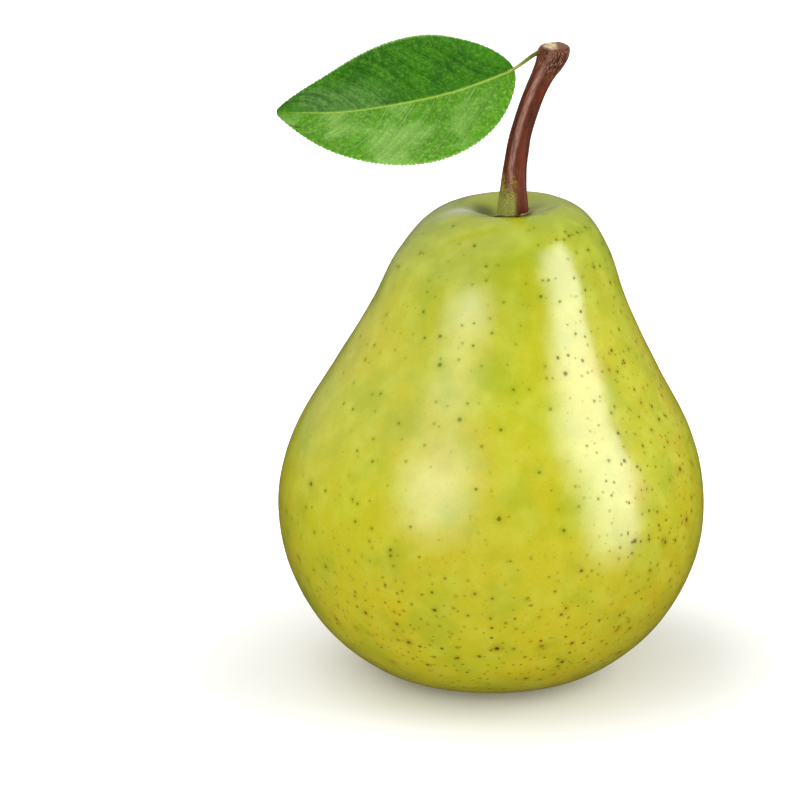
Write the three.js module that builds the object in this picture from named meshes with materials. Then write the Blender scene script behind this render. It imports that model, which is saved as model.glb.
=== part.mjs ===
// A fresh whole pear standing on its base, with its woody stem, one leaf on a thin stalk,
// and the dried calyx in the hollow underneath. Millimetres, +Z up.
// The origin is on the surface it stands on, under the fruit's middle.
import * as THREE from "three";

// Driving dimensions of the fruit.
const FRUIT_HEIGHT = 83.6; // surface it stands on to the rim round the stem
const BELLY_RADIUS = 37.3; // widest, a little above a third of the height
const BELLY_HEIGHT = 31;
const FOOT_INNER = 10.5; // the flat ring it rests on
const FOOT_OUTER = 13.5;
const CALYX_HOLLOW_DEPTH = 5;
const STEM_HOLLOW_DEPTH = 2;
const NECK_LEAN = 2.5; // how far the rim stands over to +X of the belly
const NECK_LEAN_FROM = 30; // the height where it starts to lean
const NECK_LEAN_POWER = 1.6; // it leans more and more towards the rim
const STEM_OFFSET = 1.1; // how far the stem and its hollow stand to +X of the rim's middle
const RIM_SLOPE_X = 0.045; // the rim rises this much per mm towards +X
const RIM_SLOPE_Y = 0.06; // and towards +Y
const RIM_BACK = 8; // where the sloping rim keeps its full height
const RIM_BAND = 16; // the slope fades out over this height under the rim
const HOLLOW_FULL = 4; // the hollow keeps its offset up to this radius
const HOLLOW_FADE = 12; // and has none from here on
const LOBES_OF_THREE = 0.006; // how far the belly swells on three sides, as a share of its radius
const LOBES_OF_TWO = 0.008; // and how far it is flattened on two
const BELLY_SWELL = 0.007;
const FRUIT_SIDES = 48;

// Driving dimensions of the stem.
const STEM_RISE = 28.5;
const STEM_DEPTH_BEND = 1.3; // how far its end leans to +Y
const STEM_RADIUS = 1.75;
const STEM_SIDES = 20;
const STEM_CLEARANCE = 0.5; // the foot stands this far above the bottom of its hollow
const KNOB_FROM = 0.86; // share of the length where the rings start to turn level
const GROWN_GAP = 0.3; // clearance where one piece grows out of another

// Driving dimensions of the leaf.
const LEAF_HALF_WIDTH = 11.3;
const LEAF_TIP_HALF_WIDTH = 0.35; // at both ends of the blade
const LEAF_THICKNESS = 0.5;
const LEAF_FOLD = THREE.MathUtils.degToRad(17); // each half rises this much from the midrib
const LEAF_FACE_TILT = 0.2; // radians that its upper face looks up from level
const BLADE_FULL_NEAR = 0.78; // under 1 puts the widest part nearer the stalk
const BLADE_FULLNESS = 0.8; // under 1 makes the blade's outline fuller
const LEAF_STEPS_ALONG = 28;
const LEAF_STEPS_ACROSS = 10;
const STALK_RADIUS = 0.5;
const STALK_SIDES = 10;

// Driving dimensions of the calyx.
const SEPALS = 5;
const CALYX_RADIUS = 3.6;
const CALYX_HEIGHT = 2.9;
const SEPAL_DEPTH = 0.2; // how deep the notches between the sepals go, as a share of the radius

function finish(color, roughness) {
  return new THREE.MeshStandardMaterial({ color, roughness, metalness: 0 });
}

function piece(name, geometry, material) {
  const mesh = new THREE.Mesh(geometry, material);
  mesh.name = name;
  return mesh;
}

function smoothLine(points, pieces) {
  const vectors = points.map((p) => new THREE.Vector3(...p));
  const line = new THREE.CatmullRomCurve3(vectors, false, "centripetal");
  return line.getPoints(pieces);
}

// Moves every vertex by a rule that depends only on where it is, so that a closed shape stays closed.
function reshape(geometry, rule) {
  const place = geometry.getAttribute("position");
  const p = new THREE.Vector3();
  for (let i = 0; i < place.count; i++) {
    p.fromBufferAttribute(place, i);
    rule(p);
    place.setXYZ(i, p.x, p.y, p.z);
  }
  geometry.computeVertexNormals();
  return geometry;
}

// Half outline as [radius, height]: the hollow round the calyx, then up the outside and down to the stem.
function calyxHollowOutline() {
  return smoothLine(
    [
      [0, CALYX_HOLLOW_DEPTH, 0],
      [4.2, CALYX_HOLLOW_DEPTH - 0.8, 0],
      [7.6, 1.4, 0],
      [FOOT_INNER, 0, 0],
    ],
    9,
  );
}

function outsideOutline() {
  const rim = FRUIT_HEIGHT;
  return smoothLine(
    [
      [FOOT_OUTER, 0, 0],
      [21, 2.4, 0],
      [29.7, 9.5, 0],
      [35.6, 20, 0],
      [BELLY_RADIUS, BELLY_HEIGHT, 0],
      [34.6, 43, 0],
      [28, 55, 0],
      [22.1, 66, 0],
      [18.4, 75, 0],
      [14, rim - 2.4, 0],
      [9, rim, 0],
      [5.6, rim - 0.6, 0],
      [3.4, rim - STEM_HOLLOW_DEPTH + 0.6, 0],
      [0, rim - STEM_HOLLOW_DEPTH, 0],
    ],
    46,
  );
}

// The neck leans over, the rim slopes down to the front and to -X, and the hollow is off its middle.
function leanAt(z) {
  const share = THREE.MathUtils.clamp((z - NECK_LEAN_FROM) / (FRUIT_HEIGHT - NECK_LEAN_FROM), 0, 1);
  return NECK_LEAN * Math.pow(share, NECK_LEAN_POWER);
}

function growUnevenly(p) {
  const around = Math.atan2(p.y, p.x);
  const belly = THREE.MathUtils.smoothstep(p.z, 4, 24);
  const three = LOBES_OF_THREE * Math.cos(3 * around - 0.9);
  const two = LOBES_OF_TWO * Math.cos(2 * around - 0.5);
  const girth = 1 + belly * (three - two + BELLY_SWELL);
  const rimShare = THREE.MathUtils.smoothstep(p.z, FRUIT_HEIGHT - RIM_BAND, FRUIT_HEIGHT);
  const rise = rimShare * (RIM_SLOPE_X * p.x + RIM_SLOPE_Y * (p.y - RIM_BACK));
  const away = Math.hypot(p.x, p.y);
  const inHollow = rimShare * (1 - THREE.MathUtils.smoothstep(away, HOLLOW_FULL, HOLLOW_FADE));
  const shift = leanAt(p.z) + STEM_OFFSET * inHollow;
  p.set(p.x * girth + shift, p.y * girth, p.z + rise);
}

function fruitGeometry() {
  const outline = [...calyxHollowOutline(), ...outsideOutline()].map((p) => new THREE.Vector2(p.x, p.y));
  const turned = new THREE.LatheGeometry(outline, FRUIT_SIDES).rotateX(Math.PI / 2);
  return reshape(turned, growUnevenly);
}

// A rod that follows a curve, such as the stem: a lathe turned along +Y and laid along the curve.
// The outline is [radius, share of the length].
// From the share levelFrom on, its rings turn until the last one is level.
function rodAlong(curve, outline, sides, levelFrom) {
  const length = curve.getLength();
  const profile = outline.map(([radius, share]) => new THREE.Vector2(radius, share * length));
  return reshape(new THREE.LatheGeometry(profile, sides), (p) => {
    const share = THREE.MathUtils.clamp(p.y / length, 0, 1);
    const along = curve.getTangentAt(share);
    const side = new THREE.Vector3(0, 1, 0).cross(along).normalize();
    const other = along.clone().cross(side);
    side.setZ(side.z * (1 - THREE.MathUtils.smoothstep(share, levelFrom, 1))).normalize();
    const centre = curve.getPointAt(share);
    p.copy(centre.addScaledVector(side, p.x).addScaledVector(other, -p.z));
  });
}

// The stem rises straight out of its hollow and bends over to +X: [share of its rise, lean].
const stemCurve = new THREE.CatmullRomCurve3(
  [
    [0, 0],
    [0.25, 0.22],
    [0.45, 1.15],
    [0.65, 2.85],
    [0.82, 5],
    [0.92, 6.4],
    [1, 7.1],
  ].map(([share, lean]) => {
    const foot = FRUIT_HEIGHT - STEM_HOLLOW_DEPTH + STEM_CLEARANCE;
    const x = NECK_LEAN + STEM_OFFSET + lean;
    return new THREE.Vector3(x, STEM_DEPTH_BEND * share * share, foot + STEM_RISE * share);
  }),
  false,
  "centripetal",
);

function stemGeometry() {
  const r = STEM_RADIUS;
  const outline = smoothLine(
    [
      [r + 0.85, 0.02, 0],
      [r + 0.57, 0.125, 0],
      [r + 0.28, 0.35, 0],
      [r + 0.09, 0.56, 0],
      [r + 0.16, 0.74, 0],
      [r + 0.57, 0.88, 0],
      [r + 0.95, 0.95, 0],
      [r + 0.9, 0.98, 0],
      [r + 0.6, 1, 0],
    ],
    22,
  ).map((p) => [p.x, p.y]);
  return rodAlong(stemCurve, [[0, 0], [r + 0.55, 0], ...outline, [0, 1]], STEM_SIDES, KNOB_FROM);
}

// The midrib leaves the stalk to -X, sags a little and lifts again at the tip.
const leafBase = new THREE.Vector3(3.6, -0.6, 106.4);
const midrib = new THREE.CatmullRomCurve3(
  [
    leafBase,
    new THREE.Vector3(-6, -1.6, 103),
    new THREE.Vector3(-15.5, -2.2, 100.9),
    new THREE.Vector3(-26, -2, 99.4),
    new THREE.Vector3(-36.6, -1, 99.2),
  ],
  false,
  "centripetal",
);

// The stalk ends on the stem's side, just under its knob.
const stalkCurve = new THREE.CatmullRomCurve3(
  [
    leafBase.clone().add(new THREE.Vector3(GROWN_GAP, 0, 0.1)),
    new THREE.Vector3(5.4, -0.1, 107.75),
    new THREE.Vector3(7, 0.5, 108.85),
  ],
  false,
  "centripetal",
);

function stalkGeometry() {
  const outline = [
    [0, 0],
    [0.7 * STALK_RADIUS, 0],
    [0.8 * STALK_RADIUS, 0.25],
    [0.85 * STALK_RADIUS, 0.5],
    [STALK_RADIUS, 0.75],
    [1.3 * STALK_RADIUS, 1],
    [0, 1],
  ];
  return rodAlong(stalkCurve, outline, STALK_SIDES, 1);
}

// Half the blade's width at a share of its length from the stalk: broad near the stalk, pointed at the tip.
function bladeHalfWidth(share) {
  const full = Math.pow(Math.sin(Math.PI * Math.pow(share, BLADE_FULL_NEAR)), BLADE_FULLNESS);
  return LEAF_TIP_HALF_WIDTH + LEAF_HALF_WIDTH * full;
}

// A box with one face up and one down is laid along the midrib and folded upwards into a shallow V.
function bladeGeometry() {
  const box = new THREE.BoxGeometry(1, 2, 1, LEAF_STEPS_ALONG, LEAF_STEPS_ACROSS, 1);
  const faceOut = new THREE.Vector3(0, -Math.cos(LEAF_FACE_TILT), Math.sin(LEAF_FACE_TILT));
  return reshape(box, (p) => {
    const share = THREE.MathUtils.clamp(p.x + 0.5, 0, 1);
    const along = midrib.getTangentAt(share);
    const across = faceOut.clone().cross(along).normalize();
    const out = along.clone().cross(across);
    const reach = bladeHalfWidth(share) * p.y;
    const height = Math.abs(reach) * Math.sin(LEAF_FOLD) + p.z * LEAF_THICKNESS;
    const centre = midrib.getPointAt(share);
    p.copy(centre.addScaledVector(across, reach * Math.cos(LEAF_FOLD)).addScaledVector(out, height));
  });
}

// The dried blossom end: a small crown with a point for each sepal, hanging in the hollow.
function calyxGeometry() {
  const top = CALYX_HOLLOW_DEPTH - GROWN_GAP;
  const low = top - CALYX_HEIGHT;
  const outline = [
    [0, low + 1.4],
    [1.2, low + 0.8],
    [0.9 * CALYX_RADIUS, low],
    [CALYX_RADIUS, low + 0.3],
    [0.7 * CALYX_RADIUS, low + 1.6],
    [0.45 * CALYX_RADIUS, top - 0.2],
    [0, top],
  ].map(([radius, z]) => new THREE.Vector2(radius, z));
  const turned = new THREE.LatheGeometry(outline, 8 * SEPALS).rotateX(Math.PI / 2);
  return reshape(turned, (p) => {
    const point = 1 - SEPAL_DEPTH * (1 - Math.cos(SEPALS * Math.atan2(p.y, p.x)));
    p.set(p.x * point, p.y * point, p.z);
  });
}

const pear = new THREE.Group();
pear.add(
  piece("fruit", fruitGeometry(), finish(0xc2c447, 0.32)),
  piece("stem", stemGeometry(), finish(0x5a2a1c, 0.45)),
  piece("leaf_stalk", stalkGeometry(), finish(0x7f8a2c, 0.5)),
  piece("leaf_blade", bladeGeometry(), finish(0x3f8f22, 0.4)),
  piece("calyx", calyxGeometry(), finish(0x3b2a1c, 0.85)),
);

export default pear;
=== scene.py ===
import math

import bmesh
import bpy
import numpy as np
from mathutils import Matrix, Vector, noise
from mathutils.bvhtree import BVHTree


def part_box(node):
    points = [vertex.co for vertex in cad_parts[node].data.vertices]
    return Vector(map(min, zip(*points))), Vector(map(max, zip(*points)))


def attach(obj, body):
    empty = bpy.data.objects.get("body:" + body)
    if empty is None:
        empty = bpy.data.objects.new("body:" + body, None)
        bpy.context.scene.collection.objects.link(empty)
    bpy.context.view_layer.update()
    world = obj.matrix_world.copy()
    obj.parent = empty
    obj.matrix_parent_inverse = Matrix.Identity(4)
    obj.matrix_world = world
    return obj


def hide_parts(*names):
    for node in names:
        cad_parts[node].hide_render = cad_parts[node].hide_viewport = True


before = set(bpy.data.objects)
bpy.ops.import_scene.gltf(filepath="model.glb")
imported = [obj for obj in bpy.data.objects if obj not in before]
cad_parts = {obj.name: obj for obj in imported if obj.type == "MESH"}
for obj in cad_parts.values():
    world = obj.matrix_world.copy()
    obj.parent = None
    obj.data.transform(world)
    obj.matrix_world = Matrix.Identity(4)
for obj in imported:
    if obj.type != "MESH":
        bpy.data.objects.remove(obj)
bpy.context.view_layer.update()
mm = 0.001  # shapes are worked out in millimetres, and meshes are in metres
print("frame loaded:", sorted(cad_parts))


def ease(value, low, high):  # 0 below low, 1 above high, smooth in between
    share = np.clip((value - low) / (high - low), 0, 1)
    return share * share * (3 - 2 * share)


def bump(value, middle, width):  # a round hill of height 1
    return np.exp(-(((value - middle) / width) ** 2))


def smoothLine(points, places):  # places run from 0 at the first point to 1 at the last
    knots = np.array(points, float)
    knots = np.vstack([2 * knots[0] - knots[1], knots, 2 * knots[-1] - knots[-2]])
    steps = np.clip(np.asarray(places, float) * (len(points) - 1), 0, len(points) - 1 - 1e-9)
    first = steps.astype(int)
    share = (steps - first)[:, None]
    a, b, c, d = (knots[first + k] for k in range(4))
    ab, bc, cd = (np.linalg.norm(q - p, axis=1)[:, None] ** 0.5 for p, q in ((a, b), (b, c), (c, d)))
    leave = ((b - a) / ab - (c - a) / (ab + bc) + (c - b) / bc) * bc
    arrive = ((c - b) / bc - (d - b) / (bc + cd) + (d - c) / cd) * bc
    square = (3 * (c - b) - 2 * leave - arrive) * share**2
    cube = (2 * (b - c) + leave + arrive) * share**3
    return b + leave * share + square + cube


def evenLine(points, count, crowd=None):  # in steps of equal length, or closer where crowd says
    fineSteps = 4000
    fine = smoothLine(points, np.linspace(0, 1, fineSteps))
    steps = np.linalg.norm(np.diff(fine, axis=0), axis=1)
    if crowd is not None:
        steps = steps * crowd((fine[1:] + fine[:-1]) / 2)
    run = np.concatenate([[0], np.cumsum(steps)])
    at = np.linspace(0, run[-1], count)
    return np.stack([np.interp(at, run, fine[:, k]) for k in range(fine.shape[1])], axis=1)


def roughness(points, size, octaves=3, shift=0.0):  # smooth random heights, about -1 to 1, lumps of that size
    flat = np.asarray(points, float).reshape(-1, 3) / np.asarray(size, float) + shift
    found = [noise.fractal(Vector(p), 1.0, 2.0, octaves) for p in flat]
    return np.array(found).reshape(np.asarray(points).shape[:-1])


def normalsOf(rings):  # outward directions of a closed tube of rings
    around = np.roll(rings, -1, axis=1) - np.roll(rings, 1, axis=1)
    along = np.gradient(rings, axis=0)
    out = np.cross(around, along)
    return out / np.maximum(np.linalg.norm(out, axis=2, keepdims=True), 1e-9)


def closedTube(rings, start, end):  # points and faces of a tube whose ends close on a point each
    count, around = rings.shape[:2]
    points = np.vstack([rings.reshape(-1, 3), [start, end]])
    startAt, endAt = count * around, count * around + 1
    faces = []
    for i in range(count - 1):
        low, high = i * around, (i + 1) * around
        for j in range(around):
            k = (j + 1) % around
            faces.append((low + j, low + k, high + k, high + j))
    last = (count - 1) * around
    for j in range(around):
        k = (j + 1) % around
        faces.append((startAt, k, j))
        faces.append((endAt, last + j, last + k))
    return points, faces


def closedSheet(upper, lower, wrap=False):  # two grids of points, joined along their edges
    rows, columns = upper.shape[:2]
    size = rows * columns
    points = np.vstack([upper.reshape(-1, 3), lower.reshape(-1, 3)])
    last = columns if wrap else columns - 1
    faces = []
    for i in range(rows - 1):
        for j in range(last):
            a, b = i * columns + j, i * columns + (j + 1) % columns
            faces.append((a, b, b + columns, a + columns))
            faces.append((size + a, size + a + columns, size + b + columns, size + b))
        for a in () if wrap else (i * columns, i * columns + columns - 1):
            faces.append((a, a + columns, size + a + columns, size + a))
    for i in (0, rows - 1):
        for j in range(last):
            a, b = i * columns + j, i * columns + (j + 1) % columns
            faces.append((a, b, size + b, size + a))
    return points, faces


def withEnds(marks):  # each ring's values in a row, then those of the two points that close the tube
    return {name: np.concatenate([values.ravel(), values[[0, -1], 0]]) for name, values in marks.items()}


def joinShapes(shapes):  # several shapes as one list of points and one of faces
    points, faces = [], []
    for some, sides in shapes:
        first = sum(len(part) for part in points)
        points.append(some)
        faces.extend(tuple(first + k for k in side) for side in sides)
    return np.vstack(points), faces


def makePiece(name, points, faces, material, numbers=None, vectors=None):
    mesh = bpy.data.meshes.new(name)
    mesh.from_pydata((np.asarray(points) * mm).tolist(), [], faces)
    for label, values in (numbers or {}).items():
        layer = mesh.attributes.new(label, "FLOAT", "POINT")
        layer.data.foreach_set("value", np.ravel(values).astype(np.float32))
    for label, values in (vectors or {}).items():
        layer = mesh.attributes.new(label, "FLOAT_VECTOR", "POINT")
        layer.data.foreach_set("vector", np.ravel(values).astype(np.float32))
    work = bmesh.new()
    work.from_mesh(mesh)
    bmesh.ops.recalc_face_normals(work, faces=work.faces)
    work.to_mesh(mesh)
    work.free()
    mesh.shade_smooth()
    mesh.materials.append(material)
    piece = bpy.data.objects.new(name, mesh)
    bpy.context.scene.collection.objects.link(piece)
    return piece


def paint(code):  # "#rrggbb" as a linear colour
    parts = [int(code[k:k + 2], 16) / 255 for k in (1, 3, 5)]
    return (*[p / 12.92 if p <= 0.04045 else ((p + 0.055) / 1.055) ** 2.4 for p in parts], 1.0)


def addNode(tree, kind, inputs=None, **settings):
    node = tree.nodes.new("ShaderNode" + kind)
    for name, value in settings.items():
        setattr(node, name, value)
    for socket, value in (inputs or {}).items():
        if isinstance(value, bpy.types.NodeSocket):
            tree.links.new(value, node.inputs[socket])
        else:
            node.inputs[socket].default_value = value
    return node


def calc(tree, operation, first, second=0.0):
    return addNode(tree, "Math", {0: first, 1: second}, operation=operation).outputs[0]


def times(tree, first, *others):  # the product of masks and numbers
    for other in others:
        first = calc(tree, "MULTIPLY", first, other)
    return first


def plus(tree, first, second):
    return calc(tree, "ADD", first, second)


def most(tree, first, second):
    return calc(tree, "MAXIMUM", first, second)


def between(tree, value, low, high, start=0.0, end=1.0):  # smooth, start at low and end at high
    sockets = {"Value": value, "From Min": low, "From Max": high, "To Min": start, "To Max": end}
    return addNode(tree, "MapRange", sockets, interpolation_type="SMOOTHSTEP").outputs["Result"]


def blendPaint(tree, mask, under, over, mode="MIX"):
    sockets = {0: mask, 6: under, 7: over}
    return addNode(tree, "Mix", sockets, data_type="RGBA", blend_type=mode).outputs[2]


def cover(tree, tone, mask, strength, colour, mode="MIX"):  # a further layer of colour over a tone
    return blendPaint(tree, times(tree, mask, strength), tone, colour, mode)


def newMaterial(name, finish):  # finish holds what is the same all over the surface
    material = bpy.data.materials.new(name)
    material.use_nodes = True
    tree = material.node_tree
    shader = tree.nodes["Principled BSDF"]
    for socket, value in finish.items():
        shader.inputs[socket].default_value = value
    return material, tree, shader


def readMarks(tree, *names):  # the marks that makePiece stored on the points
    return {name: addNode(tree, "Attribute", attribute_name=name).outputs for name in names}


def addRelief(tree, shader, height, strength, depth):  # depth in millimetres
    lumps = addNode(tree, "Bump", {"Height": height, "Strength": strength, "Distance": depth * mm})
    tree.links.new(lumps.outputs["Normal"], shader.inputs["Normal"])


def newGroup(name, inputs, outputs):
    group = bpy.data.node_groups.new(name, "ShaderNodeTree")
    for label, value in inputs.items():
        kind = "NodeSocketFloat" if isinstance(value, (int, float)) else "NodeSocketVector"
        socket = group.interface.new_socket(label, in_out="INPUT", socket_type=kind)
        socket.default_value = value
    for label in outputs:
        group.interface.new_socket(label, in_out="OUTPUT", socket_type="NodeSocketFloat")
    return group, group.nodes.new("NodeGroupInput").outputs, group.nodes.new("NodeGroupOutput").inputs


def cloudsGroup():  # soft uneven patches of a size given in millimetres
    inputs = {"Vector": (0, 0, 0), "Size": 10.0, "Detail": 3.0, "Low": 0.4, "High": 0.6}
    group, given, result = newGroup("clouds", inputs, ["Mask"])
    scale = calc(group, "DIVIDE", 1000.0, given["Size"])
    cloud = addNode(group, "TexNoise", {"Vector": given["Vector"], "Scale": scale, "Detail": given["Detail"]})
    mask = between(group, cloud.outputs["Fac"], given["Low"], given["High"])
    group.links.new(mask, result["Mask"])
    return group


def dotsGroup():  # scattered round spots with a soft ring round each, sizes in millimetres
    # Vector is a flat map of the surface, and Girth is how much narrower the surface is than its map
    inputs = {"Vector": (0, 0, 0), "Girth": 1.0, "Spacing": 2.0, "Dot": 0.3, "Ring": 0.8, "Share": 1.0}
    group, given, result = newGroup("dots", inputs, ["Dot", "Ring"])
    # a nudge of 0.2 mm keeps the spots from being true circles
    wobble = addNode(group, "TexNoise", {"Vector": given["Vector"], "Scale": 2600.0, "Detail": 1.0})
    nudge = addNode(group, "VectorMath", {0: wobble.outputs["Color"], 3: 0.0002}, operation="SCALE")
    moved = addNode(group, "VectorMath", {0: given["Vector"], 1: nudge.outputs[0]}, operation="ADD")
    moved = moved.outputs[0]
    scale = calc(group, "DIVIDE", 1000.0, given["Spacing"])
    sockets = {"Vector": moved, "Scale": scale, "Randomness": 0.82}
    cells = addNode(group, "TexVoronoi", sockets, voronoi_dimensions="2D")
    offset = addNode(group, "VectorMath", {0: moved, 1: cells.outputs["Position"]}, operation="SUBTRACT")
    parts = addNode(group, "SeparateXYZ", {"Vector": offset.outputs[0]}).outputs
    around = times(group, parts["X"], given["Girth"])
    true = addNode(group, "CombineXYZ", {"X": around, "Y": parts["Y"]}).outputs[0]
    apart = addNode(group, "VectorMath", {0: true}, operation="LENGTH").outputs["Value"]
    chance = addNode(group, "SeparateColor", {"Color": cells.outputs["Color"]})
    size = between(group, chance.outputs["Red"], 0.0, 1.0, 0.6, 1.4)
    kept = calc(group, "LESS_THAN", chance.outputs["Green"], given["Share"])
    kept = times(group, kept, between(group, chance.outputs["Blue"], 0.0, 1.0, 0.45, 1.0))
    away = calc(group, "DIVIDE", times(group, apart, 1000.0), size)
    inner = times(group, given["Dot"], 0.5)
    dot = between(group, away, inner, given["Dot"], 1.0, 0.0)
    ring = between(group, away, 0.0, given["Ring"], 1.0, 0.0)
    group.links.new(times(group, dot, kept), result["Dot"])
    group.links.new(times(group, ring, kept), result["Ring"])
    return group


def grainGroup():  # streaks that run along a piece; its Vector is the unbent place, with the length on Z
    inputs = {"Vector": (0, 0, 0), "Width": 0.4, "Stretch": 8.0, "Low": 0.4, "High": 0.6}
    group, given, result = newGroup("grain", inputs, ["Mask"])
    parts = addNode(group, "SeparateXYZ", {"Vector": given["Vector"]})
    long = calc(group, "DIVIDE", parts.outputs["Z"], given["Stretch"])
    vector = addNode(group, "CombineXYZ", {"X": parts.outputs["X"], "Y": parts.outputs["Y"], "Z": long})
    scale = calc(group, "DIVIDE", 1000.0, given["Width"])
    lines = addNode(group, "TexNoise", {"Vector": vector.outputs[0], "Scale": scale, "Detail": 3.0})
    group.links.new(between(group, lines.outputs["Fac"], given["Low"], given["High"]), result["Mask"])
    return group


clouds = cloudsGroup()
dots = dotsGroup()
grain = grainGroup()


def useGroup(tree, group, **sockets):
    node = tree.nodes.new("ShaderNodeGroup")
    node.node_tree = group
    for socket, value in sockets.items():
        if isinstance(value, bpy.types.NodeSocket):
            tree.links.new(value, node.inputs[socket])
        else:
            node.inputs[socket].default_value = value
    return node.outputs


def patches(tree, place, size, detail, low, high):  # a mask of soft patches
    return useGroup(tree, clouds, Vector=place, Size=size, Detail=detail, Low=low, High=high)["Mask"]


def streaks(tree, place, width, stretch, low, high):  # a mask of lines along a piece
    return useGroup(tree, grain, Vector=place, Width=width, Stretch=stretch, Low=low, High=high)["Mask"]


def speckles(tree, place, spacing, dot, ring, share):  # a mask of round spots
    return useGroup(tree, dots, Vector=place, Spacing=spacing, Dot=dot, Ring=ring, Share=share)["Dot"]


def paints(piece):
    return {name: paint(code) for name, code in piece["colours"].items()}


def settle(piece, node):
    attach(piece, "root")
    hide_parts(node)


fruit = {
    "sides": 320,
    "rings": 296,
    "hollowRings": 40,
    "height": 83.6,  # from the table to the rim round the stem
    "girth": 37.3,  # radius of the belly
    "hollow": [(0, 5), (4.2, 4.2), (7.6, 1.4), (10.5, 0)],  # radius and height, round the calyx
    "outline": [(13.5, 0), (21, 2.4), (29.7, 9.5), (35.6, 20), (37.3, 31), (34.6, 43), (28, 55), (22.1, 66),
                (18.4, 75), (14, 81.2), (9, 83.6), (5.6, 83), (3.4, 82.2), (0, 81.6)],
    "lobes": (0.006, 0.008, 0.007),  # shares of the girth: three lobes, two lobes, an even swelling
    "neckLean": 2.5,
    "neckLeanFrom": 30,
    "neckLeanPower": 1.6,
    "stemOffset": 1.1,
    "rimSlopes": (0.045, 0.06),  # the rim rises towards +X and +Y
    "rimBand": 16,
    "rimBack": 8,
    "unevenness": 0.16,
    "folds": 0.15,  # depth of the soft folds that run down to the stem
    "dip": 1.5,  # a deeper place beside the stem
    "puckers": 0.25,  # height of the five lobes it stands on
    "colours": {
        "leafGreen": "#92a80c",
        "yellowGreen": "#bbbe16",
        "yellow": "#cbb90a",
        # painted shade low on the right
        "amber": "#cba300",
        "shadeOlive": "#aca414",
        "dotGreen": "#b0b022",
        "dotBrown": "#8c7a16",
        "paleGreen": "#d3d74a",
        "haloGreen": "#e2f07c",
        "haloBrown": "#e6cc58",
        "russet": "#8d7436",
        # painted shade in the hollow beside the stem
        "hollowShade": "#4c5c1a",
        # a painted highlight on the lip of the hollow
        "paintedHighlight": "#d3dcc4",
    },
    "dots": {  # spacing, radius of the dot, radius of its halo, share of places that have one
        "large": (8.0, 0.38, 1.3, 0.6),
        "medium": (3.6, 0.29, 0.95, 0.9),
        "small": (2.3, 0.27, 0.5, 0.75),
        "tiny": (1.9, 0.14, 0.3, 0.3),
    },
    "finish": {  # a waxy coat over a skin that lets a little light in
        "Coat Roughness": 0.18,
        "Coat IOR": 2.05,
        "Specular IOR Level": 0.08,
        "Subsurface Weight": 0.06,
        "Subsurface Radius": (0.6, 0.8, 0.15),
        "Subsurface Scale": 0.001,
    },
}


def growFruit(points):  # the neck leans over, the rim slopes, and the belly isn't quite round
    x, y, z = points[..., 0], points[..., 1], points[..., 2]
    around = np.arctan2(y, x)
    ofThree, ofTwo, swell = fruit["lobes"]
    uneven = ofThree * np.cos(3 * around - 0.9) - ofTwo * np.cos(2 * around - 0.5) + swell
    lobes = 1 + ease(z, 4, 24) * uneven
    rim = ease(z, fruit["height"] - fruit["rimBand"], fruit["height"])
    height = np.clip((z - fruit["neckLeanFrom"]) / (fruit["height"] - fruit["neckLeanFrom"]), 0, 1)
    inHollow = rim * (1 - ease(np.hypot(x, y), 4, 12))
    shift = fruit["neckLean"] * height ** fruit["neckLeanPower"] + fruit["stemOffset"] * inHollow
    slopeX, slopeY = fruit["rimSlopes"]
    rise = rim * (slopeX * x + slopeY * (y - fruit["rimBack"]))
    return np.stack([x * lobes + shift, y * lobes, z + rise], axis=-1)


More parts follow.
